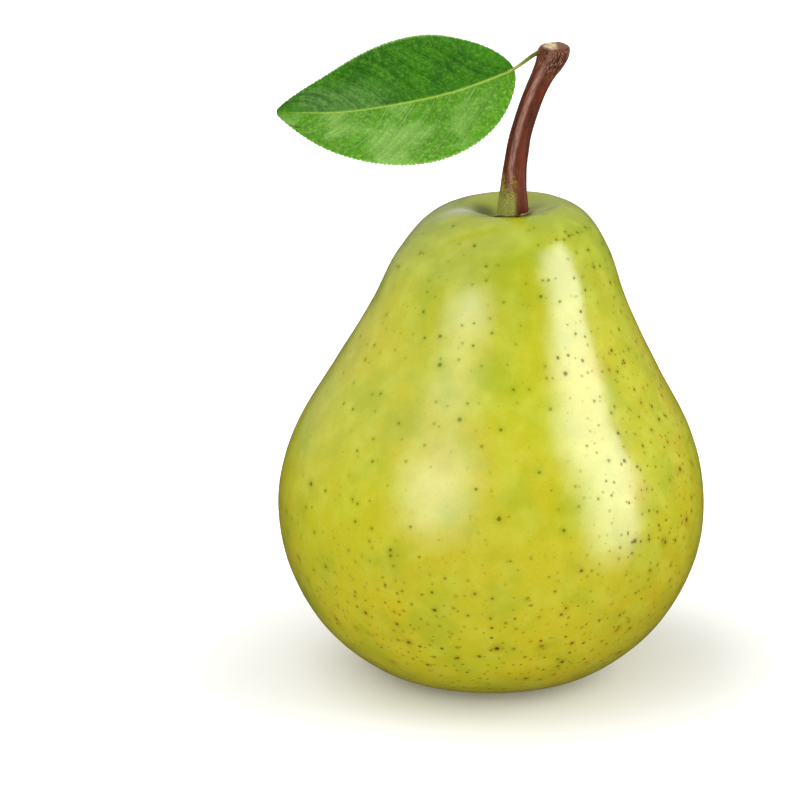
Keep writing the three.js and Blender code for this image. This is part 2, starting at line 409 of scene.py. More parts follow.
def fruitShape():  # the rings of the skin, their flat map, and the marks that the material reads
    closeIn = lambda place: 1 + 1.2 * (place[:, 0] < 13)  # finer rings where the skin folds in
    hollow = evenLine(fruit["hollow"], fruit["hollowRings"])
    outside = evenLine(fruit["outline"], fruit["rings"] - fruit["hollowRings"], closeIn)
    line = np.vstack([hollow, outside])
    run = np.concatenate([[0], np.cumsum(np.linalg.norm(np.diff(line, axis=0), axis=1))])[1:-1, None]
    line = line[1:-1]
    angle = np.linspace(0, 2 * np.pi, fruit["sides"], endpoint=False)
    radius, height = line[:, :1], line[:, 1:]
    rings = np.stack([radius * np.cos(angle), radius * np.sin(angle), height + 0 * angle], axis=-1)
    x, y, z = (rings[..., k].copy() for k in range(3))
    away = np.hypot(x, y)
    top = z > fruit["height"] - 12

    folds = np.cos(6 * angle + 0.8) + 0.7 * np.cos(9 * angle + 2.1) + 0.5 * np.cos(4 * angle - 1.0)
    rings[..., 2] -= fruit["folds"] * top * bump(away, 5.4, 2.2) * (0.5 + 0.4 * folds)
    beside = np.hypot((x + 3.7) / 1.3, (y - 0.9) / 1.5)
    rings[..., 2] -= fruit["dip"] * top * bump(beside, 0, 1.6)
    pucker = np.cos(5 * angle) + 0.6 * np.cos(10 * angle + 1.2)
    rings[..., 2] += fruit["puckers"] * ~top * (rings[..., 2] < 6) * bump(away, 5.5, 2.2) * (1 + pucker)
    grown = growFruit(rings)
    inward = 1 + 0.75 * roughness(grown, 15, 2, 3.1) + 0.25 * roughness(grown, 5, 2, 8.4)
    settled = ease(grown[..., 2], 0.5, 8) * ease(away, 2, 9)
    grown -= fruit["unevenness"] * (settled * inward)[..., None] * normalsOf(grown)

    turn = (angle - np.pi / 2) % (2 * np.pi) + 0 * run  # the map is cut open along the back
    flat = np.stack([turn * fruit["girth"], run + 0 * turn, 0 * turn], axis=-1) * mm
    fromCut = np.minimum(turn, 2 * np.pi - turn)
    # painted shade: the places beside the stem, behind the lip and across from it, where the hollow lies in
    # shadow
    behindLip = np.hypot((x + 4.6) / 1.3, (y - 2.0) / 1.6)
    opposite = np.hypot((x - 4.4) / 1.5, (y - 1.6) / 1.6)
    shaded = bump(beside, 0, 1.35) + bump(behindLip, 0, 1.2) + 0.5 * bump(opposite, 0, 1.1)
    # painted highlight: a pale glint on the left lip of the hollow
    fromHighlight = np.hypot((x + 7.4) / 2.2, y + 1.9)
    marks = {
        "girth": radius / fruit["girth"] + 0 * turn,
        "dotted": ease(fromCut, 0.021, 0.04) * ease(away, 6, 10),
        "nearStem": top * ease(away, 6.2, 2.2),
        "nearCalyx": ~top * ease(away, 10, 4),
        "shaded": top * np.clip(shaded, 0, 1),
        "paintedHighlight": top * bump(fromHighlight, 0, 1.6),
    }
    return grown, flat, marks


def skinMaterial():
    colours = paints(fruit)
    material, tree, shader = newMaterial("pearSkin", fruit["finish"])
    place = addNode(tree, "TexCoord").outputs["Object"]
    parts = addNode(tree, "SeparateXYZ", {"Vector": place}).outputs
    marks = readMarks(tree, "flatMap", "girth", "dotted", "nearStem", "nearCalyx", "shaded", "paintedHighlight")
    girth, dotted = marks["girth"]["Fac"], marks["dotted"]["Fac"]
    low = between(tree, parts["Z"], 0.05, 0.008)
    right = between(tree, parts["X"], 0.004, 0.029)
    neck = between(tree, parts["Z"], 0.045, 0.065)
    top = between(tree, parts["Z"], 0.06, 0.078)

    broad = patches(tree, place, 22.0, 3.0, 0.38, 0.62)
    yellowed = plus(tree, times(tree, broad, 0.5), times(tree, low, 0.45))
    tone = blendPaint(tree, yellowed, colours["yellowGreen"], colours["yellow"])
    tone = cover(tree, tone, patches(tree, place, 7.0, 5.0, 0.44, 0.68), 0.4, colours["leafGreen"])
    tone = cover(tree, tone, top, 0.55, colours["leafGreen"])
    # painted shade: the lower right of the pear is darkened towards olive
    tone = cover(tree, tone, times(tree, low, right), 0.75, colours["shadeOlive"])

    stipple = patches(tree, place, 0.42, 2.0, 0.46, 0.66)
    blush = patches(tree, place, 9.0, 4.0, 0.5, 0.64)
    blush = times(tree, blush, plus(tree, times(tree, right, 0.6), 0.3))
    speckled = times(tree, blush, plus(tree, times(tree, stipple, 0.45), 0.2))
    tone = blendPaint(tree, speckled, tone, colours["amber"])
    tone = cover(tree, tone, stipple, 0.2, colours["leafGreen"])
    mottle = patches(tree, place, 4.2, 3.0, 0.4, 0.72)
    tone = cover(tree, tone, mottle, between(tree, low, 0.0, 1.0, 0.32, 0.2), colours["paleGreen"])

    crowding = between(tree, most(tree, most(tree, low, right), neck), 0.0, 1.0, 0.55, 1.0)
    thinning = times(tree, girth, crowding)

    def scatter(kind):  # masks of one kind of dot and of the halos round them
        spacing, dot, ring, share = fruit["dots"][kind]
        share = times(tree, thinning, share)
        sockets = {"Vector": marks["flatMap"]["Vector"], "Girth": girth, "Share": share}
        found = useGroup(tree, dots, Spacing=spacing, Dot=dot, Ring=ring, **sockets)
        return [times(tree, found[name], dotted) for name in ("Dot", "Ring")]

    browned = most(tree, low, times(tree, right, 0.85))
    large, largeHalo = scatter("large")
    medium, mediumHalo = scatter("medium")
    small, smallHalo = (times(tree, mask, browned) for mask in scatter("small"))
    tiny, tinyHalo = scatter("tiny")
    halo = blendPaint(tree, browned, colours["haloGreen"], colours["haloBrown"])
    mark = blendPaint(tree, browned, colours["dotGreen"], colours["dotBrown"])
    spots = ((largeHalo, 0.9, halo), (mediumHalo, 0.75, halo), (smallHalo, 0.6, halo), (tinyHalo, 0.4, halo),
             (large, 1.0, mark), (medium, 1.0, mark), (small, 1.0, colours["dotBrown"]), (tiny, 0.6, mark))
    for mask, depth, colour in spots:
        tone = cover(tree, tone, mask, depth, colour, "MULTIPLY")

    worn = patches(tree, place, 1.3, 5.0, 0.4, 0.62)
    # a painted highlight on the hollow's left lip
    tone = cover(tree, tone, marks["paintedHighlight"]["Fac"], 0.95, colours["paintedHighlight"])
    # the hollow beside the stem is painted dark, as painted shade
    tone = cover(tree, tone, marks["shaded"]["Fac"], 0.75, colours["hollowShade"])
    rusty = calc(tree, "POWER", marks["nearStem"]["Fac"], 3.0)
    rusty = times(tree, most(tree, rusty, marks["nearCalyx"]["Fac"]), worn)
    tone = cover(tree, tone, rusty, 0.8, colours["russet"])
    tree.links.new(tone, shader.inputs["Base Color"])

    matt = most(tree, most(tree, large, medium), most(tree, small, rusty))
    tree.links.new(between(tree, matt, 0.0, 0.5, 1.0, 0.25), shader.inputs["Coat Weight"])
    gloss = patches(tree, place, 6.0, 5.0, 0.3, 0.7)
    dull = plus(tree, between(tree, gloss, 0.0, 1.0, 0.3, 0.4), times(tree, rusty, 0.3))
    tree.links.new(dull, shader.inputs["Roughness"])
    pores = addNode(tree, "TexNoise", {"Vector": place, "Scale": 1500.0, "Detail": 3.0}).outputs["Fac"]
    relief = plus(tree, times(tree, pores, 0.3), times(tree, medium, 0.4))
    addRelief(tree, shader, relief, 0.3, 0.1)
    return material


def makeFruit():  # gives back the skin as a surface that the collar can lie on
    rings, flat, marks = fruitShape()
    points, faces = closedTube(rings, rings[0].mean(axis=0), rings[-1].mean(axis=0))
    points[:, 2] = np.maximum(points[:, 2], 0)
    vectors = {"flatMap": np.vstack([flat.reshape(-1, 3), flat[0, :1], flat[-1, :1]])}
    piece = makePiece("pear_skin", points, faces, skinMaterial(), withEnds(marks), vectors)
    settle(piece, "fruit")
    return BVHTree.FromPolygons(points.tolist(), faces)


skinShape = makeFruit()
print("fruit grown")


def bentLine(points, count):  # places along a smooth line, with its direction and two sides
    line = evenLine(points, count)
    along = np.gradient(line, axis=0)
    along /= np.linalg.norm(along, axis=1, keepdims=True)
    side = np.cross([0, 1, 0], along)
    side /= np.linalg.norm(side, axis=1, keepdims=True)
    return line, along, side, np.cross(along, side)


def rodRings(bent, radius, lift):  # both by ring and angle; lift moves a point along the rod
    line, along, side, other = (part[:, None, :] for part in bent)
    angle = np.linspace(0, 2 * np.pi, radius.shape[1], endpoint=False)[None, :, None]
    out = side * np.cos(angle) + other * np.sin(angle)
    return line + out * radius[..., None] + along * lift[..., None]


def unbentPlaces(radius, run):  # the same points on a straight rod, with the length on Z
    angle = np.linspace(0, 2 * np.pi, radius.shape[1], endpoint=False)
    return np.stack([radius * np.cos(angle), radius * np.sin(angle), run], axis=-1)


def wrappedPlaces(girth, run):  # a flat map of a rod of about that radius, cut open along the back
    angle = np.linspace(0, 2 * np.pi, run.shape[1], endpoint=False)
    turn = (angle - np.pi / 2) % (2 * np.pi) + 0 * run
    return np.stack([turn * girth, run, 0 * run], axis=-1)


stem = {
    "sides": 176,
    "rings": 430,
    "rise": 28.5,
    # share of the length, and how far the stem leans to +X there
    "bends": [(0, 0), (0.25, 0.22), (0.45, 1.15), (0.65, 2.85), (0.82, 5), (0.92, 6.4), (1, 7.1)],
    "knotEvery": 30,  # thins the fine line to the knots that the rings follow
    "depthBend": 1.3,  # how far its end leans to +Y
    "radius": 1.75,
    "sunk": 1.1,  # how far its foot goes down into the skin
    # what comes on top of the radius, and the share of the length
    "outline": [(0.84, -0.04), (0.8, 0.02), (0.52, 0.125), (0.34, 0.236), (0.23, 0.346),
                (0.12, 0.457), (0.04, 0.56), (0.07, 0.67), (0.15, 0.78), (0.33, 0.84),
                (0.58, 0.88), (0.84, 0.915), (0.98, 0.94), (0.96, 0.958), (0.84, 0.974)],
    "cutAt": 0.974,
    "knobFrom": 0.86,
    "flutes": 0.045,
    "rootFlutes": 0.13,
    "grain": 0.03,
    "lumps": 0.09,
    "wrinkles": 0.21,
    "crackWidth": 0.15,
    "cutRings": 34,
    "torn": 0.15,
    "cutTilt": 0.24,  # the cut end is lower at the front
    "colours": {
        "bark": "#521d06",
        "redBark": "#6c2507",
        "darkBark": "#2b0e04",
        "greyBark": "#74442e",
        # a painted highlight that runs up the stem
        "paintedHighlight": "#b48876",
        "tan": "#c49c7a",
        "green": "#a3a650",
        "straw": "#b09030",
        "cutWood": "#d8c49c",
        "cutDark": "#7a5a48",
    },
    "finish": {"Specular IOR Level": 0.3},
}


def stemLine():  # from under its foot to its cut end
    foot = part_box("stem")[0].z / mm
    start = fruit["neckLean"] + fruit["stemOffset"]
    shares = np.array([share for share, lean in stem["bends"]])
    leans = np.array([lean for share, lean in stem["bends"]])
    line = np.stack([start + leans, stem["depthBend"] * shares**2, foot + stem["rise"] * shares], axis=1)
    below = line[0] - np.array([0, 0, stem["sunk"]])
    fineSteps = 3000
    fine = smoothLine(np.vstack([below, line]), np.linspace(0, 1, fineSteps))
    return fine[fine[:, 2] <= foot + stem["rise"] * stem["cutAt"]][::stem["knotEvery"]]


def stemMaterial():
    colours = paints(stem)
    material, tree, shader = newMaterial("stemBark", stem["finish"])
    marks = readMarks(tree, "unbent", "wrapped", "cut", "crack")
    unbent, cut = marks["unbent"]["Vector"], marks["cut"]["Fac"]
    parts = addNode(tree, "SeparateXYZ", {"Vector": unbent}).outputs
    knob = between(tree, parts["Z"], 0.022, 0.0265)
    fine = streaks(tree, unbent, 0.32, 7.0, 0.4, 0.68)
    patch = patches(tree, unbent, 1.5, 6.0, 0.45, 0.62)
    broad = streaks(tree, unbent, 1.6, 6.0, 0.4, 0.6)
    tone = blendPaint(tree, broad, colours["bark"], colours["redBark"])
    tone = cover(tree, tone, fine, between(tree, knob, 0.0, 1.0, 0.5, 0.9), colours["darkBark"])
    tone = cover(tree, tone, patch, between(tree, knob, 0.0, 1.0, 0.12, 0.6), colours["greyBark"])
    tone = cover(tree, tone, marks["crack"]["Fac"], 0.9, colours["tan"])

    # a painted highlight, a pale band of sheen, runs up the front, left of the middle, and fades at the knob
    front = between(tree, parts["Y"], 0.0004, -0.0006)
    risen = between(tree, parts["X"], -0.0014, -0.0008)
    highlightBand = times(tree, risen, between(tree, parts["X"], 0.0001, -0.0006))
    highlightBand = times(tree, highlightBand, between(tree, parts["Z"], 0.0255, 0.0215, 0.3, 1.0), front)
    tone = cover(tree, tone, highlightBand, between(tree, fine, 0.0, 1.0, 0.8, 0.3), colours["paintedHighlight"])

    speckle = patches(tree, unbent, 0.24, 2.0, 0.46, 0.54)
    tone = cover(tree, tone, speckle, 0.18, colours["greyBark"])
    edge = plus(tree, parts["Z"], times(tree, patch, -0.003))
    young = times(tree, between(tree, edge, 0.0066, 0.001), between(tree, parts["X"], 0.0009, -0.0002))
    green = blendPaint(tree, between(tree, parts["Z"], 0.002, 0.0062), colours["green"], colours["straw"])
    green = cover(tree, green, speckle, between(tree, parts["Z"], 0.0, 0.006, 0.3, 0.9), colours["bark"])
    tone = blendPaint(tree, young, tone, green)
    rings = between(tree, patches(tree, unbent, 0.8, 5.0, 0.46, 0.64), 0.0, 1.0, 1.0, 0.35)
    pale = times(tree, between(tree, parts["X"], 0.0006, -0.0002), rings)
    wood = blendPaint(tree, pale, colours["cutDark"], colours["cutWood"])
    tone = blendPaint(tree, cut, tone, wood)
    tree.links.new(tone, shader.inputs["Base Color"])

    dull = plus(tree, times(tree, patch, 0.14), times(tree, cut, 0.3))
    tree.links.new(plus(tree, dull, 0.38), shader.inputs["Roughness"])
    pits = speckles(tree, marks["wrapped"]["Vector"], 0.5, 0.12, 0.25, 0.6)
    height = calc(tree, "SUBTRACT", times(tree, fine, -0.5), times(tree, pits, 0.7))
    addRelief(tree, shader, height, 0.45, 0.04)
    return material


def stemShape():  # rings from the foot up and over the cut end, with marks and unbent places
    line, along, side, other = bentLine(stemLine(), stem["rings"])
    share = (line[:, 2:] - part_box("stem")[0].z / mm) / stem["rise"]
    turned = ease(share, stem["knobFrom"], 1)
    side[:, 2:] *= 1 - turned
    side /= np.linalg.norm(side, axis=1, keepdims=True)
    other[:, 2:] += stem["cutTilt"] * turned
    bent = (line, along, side, other)
    outline = smoothLine(stem["outline"], np.linspace(0, 1, 800))
    angle = np.linspace(0, 2 * np.pi, stem["sides"], endpoint=False)[None, :]
    radius = stem["radius"] + np.interp(share, outline[:, 1], outline[:, 0]) + 0 * angle
    run = share * stem["rise"] + 0 * angle

    straight = unbentPlaces(radius, run)
    knob = ease(share, 0.78, 0.92)
    root = ease(share, 0.34, 0.02)
    flutes = np.cos(4 * angle + 0.4 + 2 * share) + 0.6 * np.cos(7 * angle + 1.9 - 3 * share)
    rootFlutes = root * (np.cos(6 * angle + 2.2) + 0.5 * np.cos(11 * angle))
    fibres = roughness(straight, (0.45, 0.45, 4.0), 4, 2.7)
    lumps = roughness(straight, (2.2, 2.2, 5.0), 2, 5.1)
    crack = np.clip(1 - np.abs(roughness(straight, (0.45, 0.45, 2.4), 2, 7.3)) / stem["crackWidth"], 0, 1)
    radius = radius + stem["flutes"] * flutes + stem["rootFlutes"] * rootFlutes
    radius = radius + stem["grain"] * fibres + stem["lumps"] * lumps - 0.05
    radius = radius - stem["wrinkles"] * (0.05 + knob) * crack

    inward = np.cos(np.linspace(0.12, 1.53, stem["cutRings"]))[:, None]
    end = tuple(np.repeat(part[-1:], stem["cutRings"], axis=0) for part in bent)
    cutRadius = radius[-1:] * inward
    cutPlaces = unbentPlaces(cutRadius, 0 * cutRadius + stem["rise"])
    torn = stem["torn"] * roughness(cutPlaces, (0.75, 0.75, 0.75), 4, 1.3) * ease(1 - inward, 0.05, 0.25)
    rounded = 0.55 * np.sqrt(np.clip((1 - inward**2) / 0.36, 0, 1))
    sunken = 0.25 * ease(0.72 - inward, 0, 0.4)
    rings = np.vstack([rodRings(bent, radius, 0 * radius), rodRings(end, cutRadius, rounded + torn - sunken)])
    straight = np.vstack([unbentPlaces(radius, run), cutPlaces])
    cut = np.vstack([0 * radius, ease(1 - inward, 0.02, 0.3) + 0 * angle])
    crack = np.vstack([crack * knob, 0 * cutRadius])
    return rings, straight, {"cut": cut, "crack": crack}


def makeStem():
    rings, straight, marks = stemShape()
    points, faces = closedTube(rings, rings[0].mean(axis=0), rings[-1].mean(axis=0))
    points[:, 2] = np.minimum(points[:, 2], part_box("stem")[1].z / mm)
    ends = [[0, 0, straight[0, 0, 2]], [0, 0, stem["rise"]]]
    wrapped = wrappedPlaces(stem["radius"] + 0.3, straight[..., 2])
    vectors = {"unbent": np.vstack([straight.reshape(-1, 3), ends]) * mm,
               "wrapped": np.vstack([wrapped.reshape(-1, 3), ends]) * mm}
    piece = makePiece("stem_wood", points, faces, stemMaterial(), withEnds(marks), vectors)
    settle(piece, "stem")


makeStem()
print("stem grown")


collar = {
    "sides": 260,
    "rows": 12,
    "inner": 2.05,
    "ringSize": 2.6,  # radius of the ring along which its edge gets ragged
    "reach": 0.95,  # from the stem's side to the torn edge
    # angle, length and width of each
    "tongues": [(-0.55, 0.5, 0.22), (3.35, 0.75, 0.4), (4.4, 0.3, 0.3), (1.4, 0.4, 0.5)],
    "lift": 0.36,
    "thickness": 0.07,
    "colours": {"brown": "#9a8a62", "pale": "#cfc6a6", "dark": "#6a5838"},
}


def collarMaterial():
    colours = paints(collar)
    material, tree, shader = newMaterial("driedCollar", {"Roughness": 0.75})
    place = addNode(tree, "TexCoord").outputs["Object"]
    outer = readMarks(tree, "outer")["outer"]["Fac"]
    patch = patches(tree, place, 0.9, 4.0, 0.42, 0.6)
    flecks = patches(tree, place, 0.3, 3.0, 0.5, 0.62)
    tone = blendPaint(tree, times(tree, patch, outer), colours["brown"], colours["pale"])
    tone = cover(tree, tone, flecks, 0.6, colours["dark"])
    tree.links.new(tone, shader.inputs["Base Color"])
    addRelief(tree, shader, flecks, 0.6, 0.04)
    return material


def makeCollar():  # the torn papery edge of skin round the foot of the stem
    angle = np.linspace(0, 2 * np.pi, collar["sides"], endpoint=False)
    circle = collar["ringSize"] * np.stack([np.cos(angle), np.sin(angle), 0 * angle], axis=-1)
    ragged = 0.6 + 0.45 * roughness(circle, (0.55, 0.55, 0.55), 4, 2.2)
    reach = collar["reach"] * ragged
    for middle, length, width in collar["tongues"]:
        reach = reach + length * bump((angle - middle + np.pi) % (2 * np.pi) - np.pi, 0, width)
    share = np.linspace(0, 1, collar["rows"])[:, None]
    radius = collar["inner"] + share * (reach + 0.45)
    x = fruit["neckLean"] + fruit["stemOffset"] + radius * np.cos(angle)
    y = radius * np.sin(angle)
    curl = collar["lift"] * (0.6 + 0.6 * roughness(circle, (1.4, 1.4, 1.4), 2, 6.6))
    fromAbove, down = 95, Vector((0, 0, -1))
    starts = [Vector((*place, fromAbove)) for place in zip(x.ravel(), y.ravel())]
    found = [skinShape.ray_cast(start, down)[0].z for start in starts]
    height = np.array(found).reshape(x.shape) + 0.12 + curl * share**1.5 + 0.35 * (1 - share) ** 2
    upper = np.stack([x, y, height], axis=-1)
    lower = upper - np.array([0, 0, 1]) * (collar["thickness"] * (1.3 - share))[..., None]
    points, faces = closedSheet(upper, lower, wrap=True)
    outer = np.tile((share + 0 * x).ravel(), 2)
    piece = makePiece("stem_collar", points, faces, collarMaterial(), {"outer": outer})
    settle(piece, "stem")


makeCollar()
print("collar grown")


leaf = {
    "base": (3.6, -0.6, 106.4),
    "midrib": [(-6, -1.6, 103), (-15.5, -2.2, 100.9), (-26, -2, 99.4), (-36.6, -1, 99.2)],
    "faceTilt": 0.2,
    "halfWidth": 11.0,
    "fold": math.radians(17),
    "thickness": 0.3,
    "teeth": 64,  # along each margin
    "toothDepth": 0.2,
    "toothSteps": (0.0, 0.55, 1.0, 0.35),
    "across": 92,  # steps on each side of the midrib
    "veins": 10.0,
    "veinDepth": 0.1,
    "quilting": 0.15,
    "waviness": 0.35,
    "crinkle": 0.06,
    "keel": 0.5,  # how far the midrib stands out underneath
    "colours": {
        "green": "#3a8200",
        "deepGreen": "#286c00",
        "freshGreen": "#6aac16",
        "paleGreen": "#a4d26c",
        "midrib": "#a8ca52",
        "under": "#93b478",
        # a painted sheen beside the midrib
        "paintedSheen": "#8fb46c",
    },
    "finish": {"Specular IOR Level": 0.25},
}


def leafMaterial():
    colours = paints(leaf)
    material, tree, shader = newMaterial("leafBlade", leaf["finish"])
    marks = readMarks(tree, "unbent", "veinCount", "veinStrength", "rib", "under", "sunlit", "margin")
    flat, sunlit = marks["unbent"]["Vector"], marks["sunlit"]["Fac"]
    phase, strength = marks["veinCount"]["Fac"], marks["veinStrength"]["Fac"]
    parts = addNode(tree, "SeparateXYZ", {"Vector": flat}).outputs
    away = calc(tree, "PINGPONG", phase, 0.5)
    vein = times(tree, between(tree, away, 0.045, 0.01), strength)
    away = calc(tree, "PINGPONG", plus(tree, times(tree, phase, 3.0), 0.5), 0.5)
    minor = times(tree, between(tree, away, 0.1, 0.02), strength)

    mottle = patches(tree, flat, 1.1, 5.0, 0.42, 0.62)
    tone = blendPaint(tree, patches(tree, flat, 6.0, 4.0, 0.4, 0.64), colours["green"], colours["deepGreen"])
    tone = cover(tree, tone, mottle, 0.25, colours["freshGreen"])
    # painted light: the lower half, marked sunlit, is painted lighter and fresher as if lit from above, and
    # the upper half keeps the darker shaded tone
    tone = cover(tree, tone, sunlit, plus(tree, times(tree, mottle, 0.25), 0.5), colours["freshGreen"])
    tone = cover(tree, tone, patches(tree, flat, 0.5, 4.0, 0.44, 0.62), 0.3, colours["deepGreen"])
    glints = patches(tree, flat, 0.55, 5.0, 0.5, 0.64)
    tone = cover(tree, tone, glints, between(tree, sunlit, 0.0, 1.0, 0.1, 0.3), colours["paleGreen"])
    # painted sheen: pale patches on the sunlit half
    sheenPatches = times(tree, patches(tree, flat, 9.0, 3.0, 0.46, 0.62), sunlit, 0.5)
    strength = between(tree, parts["Z"], 0.004, 0.016, 0.25, 1.0)
    tone = cover(tree, tone, sheenPatches, strength, colours["paleGreen"])
    # painted highlight along the veins: they are painted paler only on the sunlit half
    litVeins = most(tree, vein, times(tree, minor, 0.5))
    tone = cover(tree, tone, litVeins, times(tree, sunlit, 0.75), colours["paleGreen"])

    # a painted sheen lies as a pale patch beside the midrib, towards the tip
    sheenPlace = times(tree, between(tree, parts["Z"], 0.018, 0.028), between(tree, parts["Z"], 0.041, 0.035),
                    between(tree, parts["X"], -0.0065, -0.002), between(tree, parts["X"], 0.0003, -0.0003))
    tone = cover(tree, tone, sheenPlace, between(tree, mottle, 0.0, 1.0, 0.22, 0.34), colours["paintedSheen"])
    tone = cover(tree, tone, marks["margin"]["Fac"], 0.6, colours["paleGreen"])
    tone = cover(tree, tone, marks["under"]["Fac"], 0.7, colours["under"])
    tone = blendPaint(tree, marks["rib"]["Fac"], tone, colours["midrib"])
    tree.links.new(tone, shader.inputs["Base Color"])

    squeezed = addNode(tree, "VectorMath", {0: flat, 1: (0.75, 1.0, 1.0)}, operation="MULTIPLY").outputs[0]
    net = addNode(tree, "TexVoronoi", {"Vector": squeezed, "Scale": 1900.0}, feature="DISTANCE_TO_EDGE")
    cells = between(tree, net.outputs["Distance"], 0.0, 0.25)
    pores = addNode(tree, "TexNoise", {"Vector": flat, "Scale": 1500.0, "Detail": 6.0, "Roughness": 0.7})
    relief = plus(tree, times(tree, cells, 0.5), times(tree, pores.outputs["Fac"], 3.0))
    relief = calc(tree, "SUBTRACT", relief, times(tree, vein, 1.4))
    relief = calc(tree, "SUBTRACT", relief, times(tree, minor, 1.3))
    addRelief(tree, shader, relief, 0.9, 0.16)
    tree.links.new(between(tree, cells, 0.0, 1.0, 0.5, 0.38), shader.inputs["Roughness"])
    return material


def leafHalfWidth(share):  # broad near the stalk, pointed at the tip
    return 0.3 + leaf["halfWidth"] * np.sin(np.pi * np.clip(share, 0, 1) ** 0.78) ** 0.8


def leafRelief(share, reach, width):  # veins and the cushions between them, and the marks of the veins
    out = np.clip(np.abs(reach) / np.maximum(width, 0.4), 0, 1)
    side = np.sign(reach)
    ahead = 0.2 * out + 0.12 * out**2.2 + 0.012 * side + 0.008 * np.sin(23 * share + 2 * side)
    start = np.clip(share - ahead * (1.15 - 0.5 * share), -0.3, 1)
    count = leaf["veins"] * (start + 0.12 * start * start)
    count = count + 0.5 * (side > 0) + 0.12 * np.sin(17 * start + side)
    apart = np.abs((count + 0.5) % 1 - 0.5)
    strength = ease(start, -0.02, 0.04) * ease(start, 0.93, 0.8)
    strength = strength * ease(out, 0.97, 0.75) * ease(out, 0.01, 0.06)
    cushion = np.sin(np.pi * np.clip(apart * 2, 0, 1) / 2) * ease(out, 0.02, 0.3) * ease(out, 1.0, 0.7)
    lift = leaf["quilting"] * cushion - leaf["veinDepth"] * strength * bump(apart, 0, 0.05)
    return lift, count, strength


def edgeWave(share, spread):
    side = np.sign(spread)
    return 0.6 * np.sin(9 * share + 1.3 * side + 0.4) + 0.4 * np.sin(21 * share - 1.1 * side)


def makeLeaf():
    toothSteps = len(leaf["toothSteps"])
    steps = leaf["teeth"] * toothSteps
    line, along, _, _ = bentLine([leaf["base"], *leaf["midrib"]], steps + 1)
    faceOut = np.array([0, -math.cos(leaf["faceTilt"]), math.sin(leaf["faceTilt"])])
    acrossWay = np.cross(faceOut, along)
    acrossWay /= np.linalg.norm(acrossWay, axis=1, keepdims=True)
    outWay = np.cross(along, acrossWay)
    length = np.linalg.norm(np.diff(line, axis=0), axis=1).sum()

    share = np.linspace(0, 1, steps + 1)[:, None]
    half = np.linspace(0, 1, leaf["across"] + 1) ** 0.92
    spread = np.concatenate([-half[:0:-1], half])[None, :]
    width = leafHalfWidth(share)
    tooth = np.array(leaf["toothSteps"])[np.arange(steps + 1) % toothSteps][:, None]
    inside = ease(share, 0.0, 0.03) * ease(share, 1.0, 0.985)
    edge = ease(np.abs(spread), 0.93, 1.0)
    teeth = leaf["toothDepth"] * (tooth - 1) * edge * inside * (0.7 + 0.5 * np.sin(share * 91) ** 2)
    reach = spread * (width + teeth)
    relief, count, strength = leafRelief(share + 0 * reach, reach, width + 0 * reach)
    wave = leaf["waviness"] * edgeWave(share, spread) * ease(np.abs(spread), 0.35, 1.0) * ease(share, 0, 0.1)
    groove = -0.14 * bump(reach, 0, 0.5) + 0.16 * bump(reach, 0, 0.16) * ease(share, 1.0, 0.3)
    flat = np.stack([reach, 0 * reach, share * length + 0 * reach], axis=-1)
    crinkle = leaf["crinkle"] * roughness(flat, (0.7, 0.7, 0.7), 3, 1.7) * ease(np.abs(reach), 0.2, 1.0)
    height = np.abs(reach) * math.sin(leaf["fold"]) + wave + relief * ease(share, 1.0, 0.9) + groove + crinkle
    thick = leaf["thickness"] * (1 - 0.6 * np.abs(spread)) + 0 * share
    keel = leaf["keel"] * bump(reach, 0, 0.34) * (1 - 0.75 * share)

    def place(heights):
        centre, across, out = (part[:, None, :] for part in (line, acrossWay, outWay))
        return centre + across * (reach * math.cos(leaf["fold"]))[..., None] + out * heights[..., None]

    lower = place(height - thick - keel + 0.4 * relief * ease(np.abs(spread), 1.0, 0.8))
    points, faces = closedSheet(place(height), lower)
    rib = [bump(reach, 0, size * (1.2 - 0.6 * share)) * ease(share, 1.05, 0.75) for size in (0.17, 0.36)]
    numbers = {
        "veinCount": [count, count],
        "veinStrength": [strength, strength],
        "rib": rib,
        "under": [0 * reach, 1 + 0 * reach],
        # the half that the material paints lighter, as if lit from above
        "sunlit": [ease(reach, -0.3, 0.4), 0 * reach],
        "margin": [ease(np.abs(spread), 0.955, 0.99) + 0 * reach, 0 * reach],
    }
    numbers = {name: np.concatenate([part.ravel() for part in pair]) for name, pair in numbers.items()}
    vectors = {"unbent": np.tile(flat.reshape(-1, 3), (2, 1)) * mm}
    piece = makePiece("leaf_blade_veined", points, faces, leafMaterial(), numbers, vectors)
    settle(piece, "leaf_blade")


makeLeaf()
print("leaf grown")


stalk = {
    "sides": 48,
    "rings": 150,
    "line": [(2.6, -0.68, 106.05), (3.8, -0.55, 106.7), (5.4, -0.1, 107.75), (6.8, 0.5, 108.7),
             (8.2, 1.0, 109.35)],
    "radius": 0.37,
    "colours": {"green": "#6c7c1c", "brown": "#574010", "pale": "#9db048"},
}


def stalkMaterial():
    colours = paints(stalk)
    material, tree, shader = newMaterial("leafStalk", {})
    marks = readMarks(tree, "unbent", "wrapped")
    run = addNode(tree, "SeparateXYZ", {"Vector": marks["unbent"]["Vector"]}).outputs["Z"]
    lines = streaks(tree, marks["unbent"]["Vector"], 0.2, 7.0, 0.4, 0.65)
    spots = speckles(tree, marks["wrapped"]["Vector"], 0.4, 0.09, 0.2, 0.6)
    tone = blendPaint(tree, between(tree, run, 0.0012, 0.004), colours["pale"], colours["green"])
    for mask, strength in ((between(tree, run, 0.003, 0.0062), 0.6), (lines, 0.4), (spots, 0.6)):
        tone = cover(tree, tone, mask, strength, colours["brown"])
    tree.links.new(tone, shader.inputs["Base Color"])
    tree.links.new(between(tree, lines, 0.0, 1.0, 0.38, 0.55), shader.inputs["Roughness"])
    addRelief(tree, shader, lines, 0.5, 0.04)
    return material


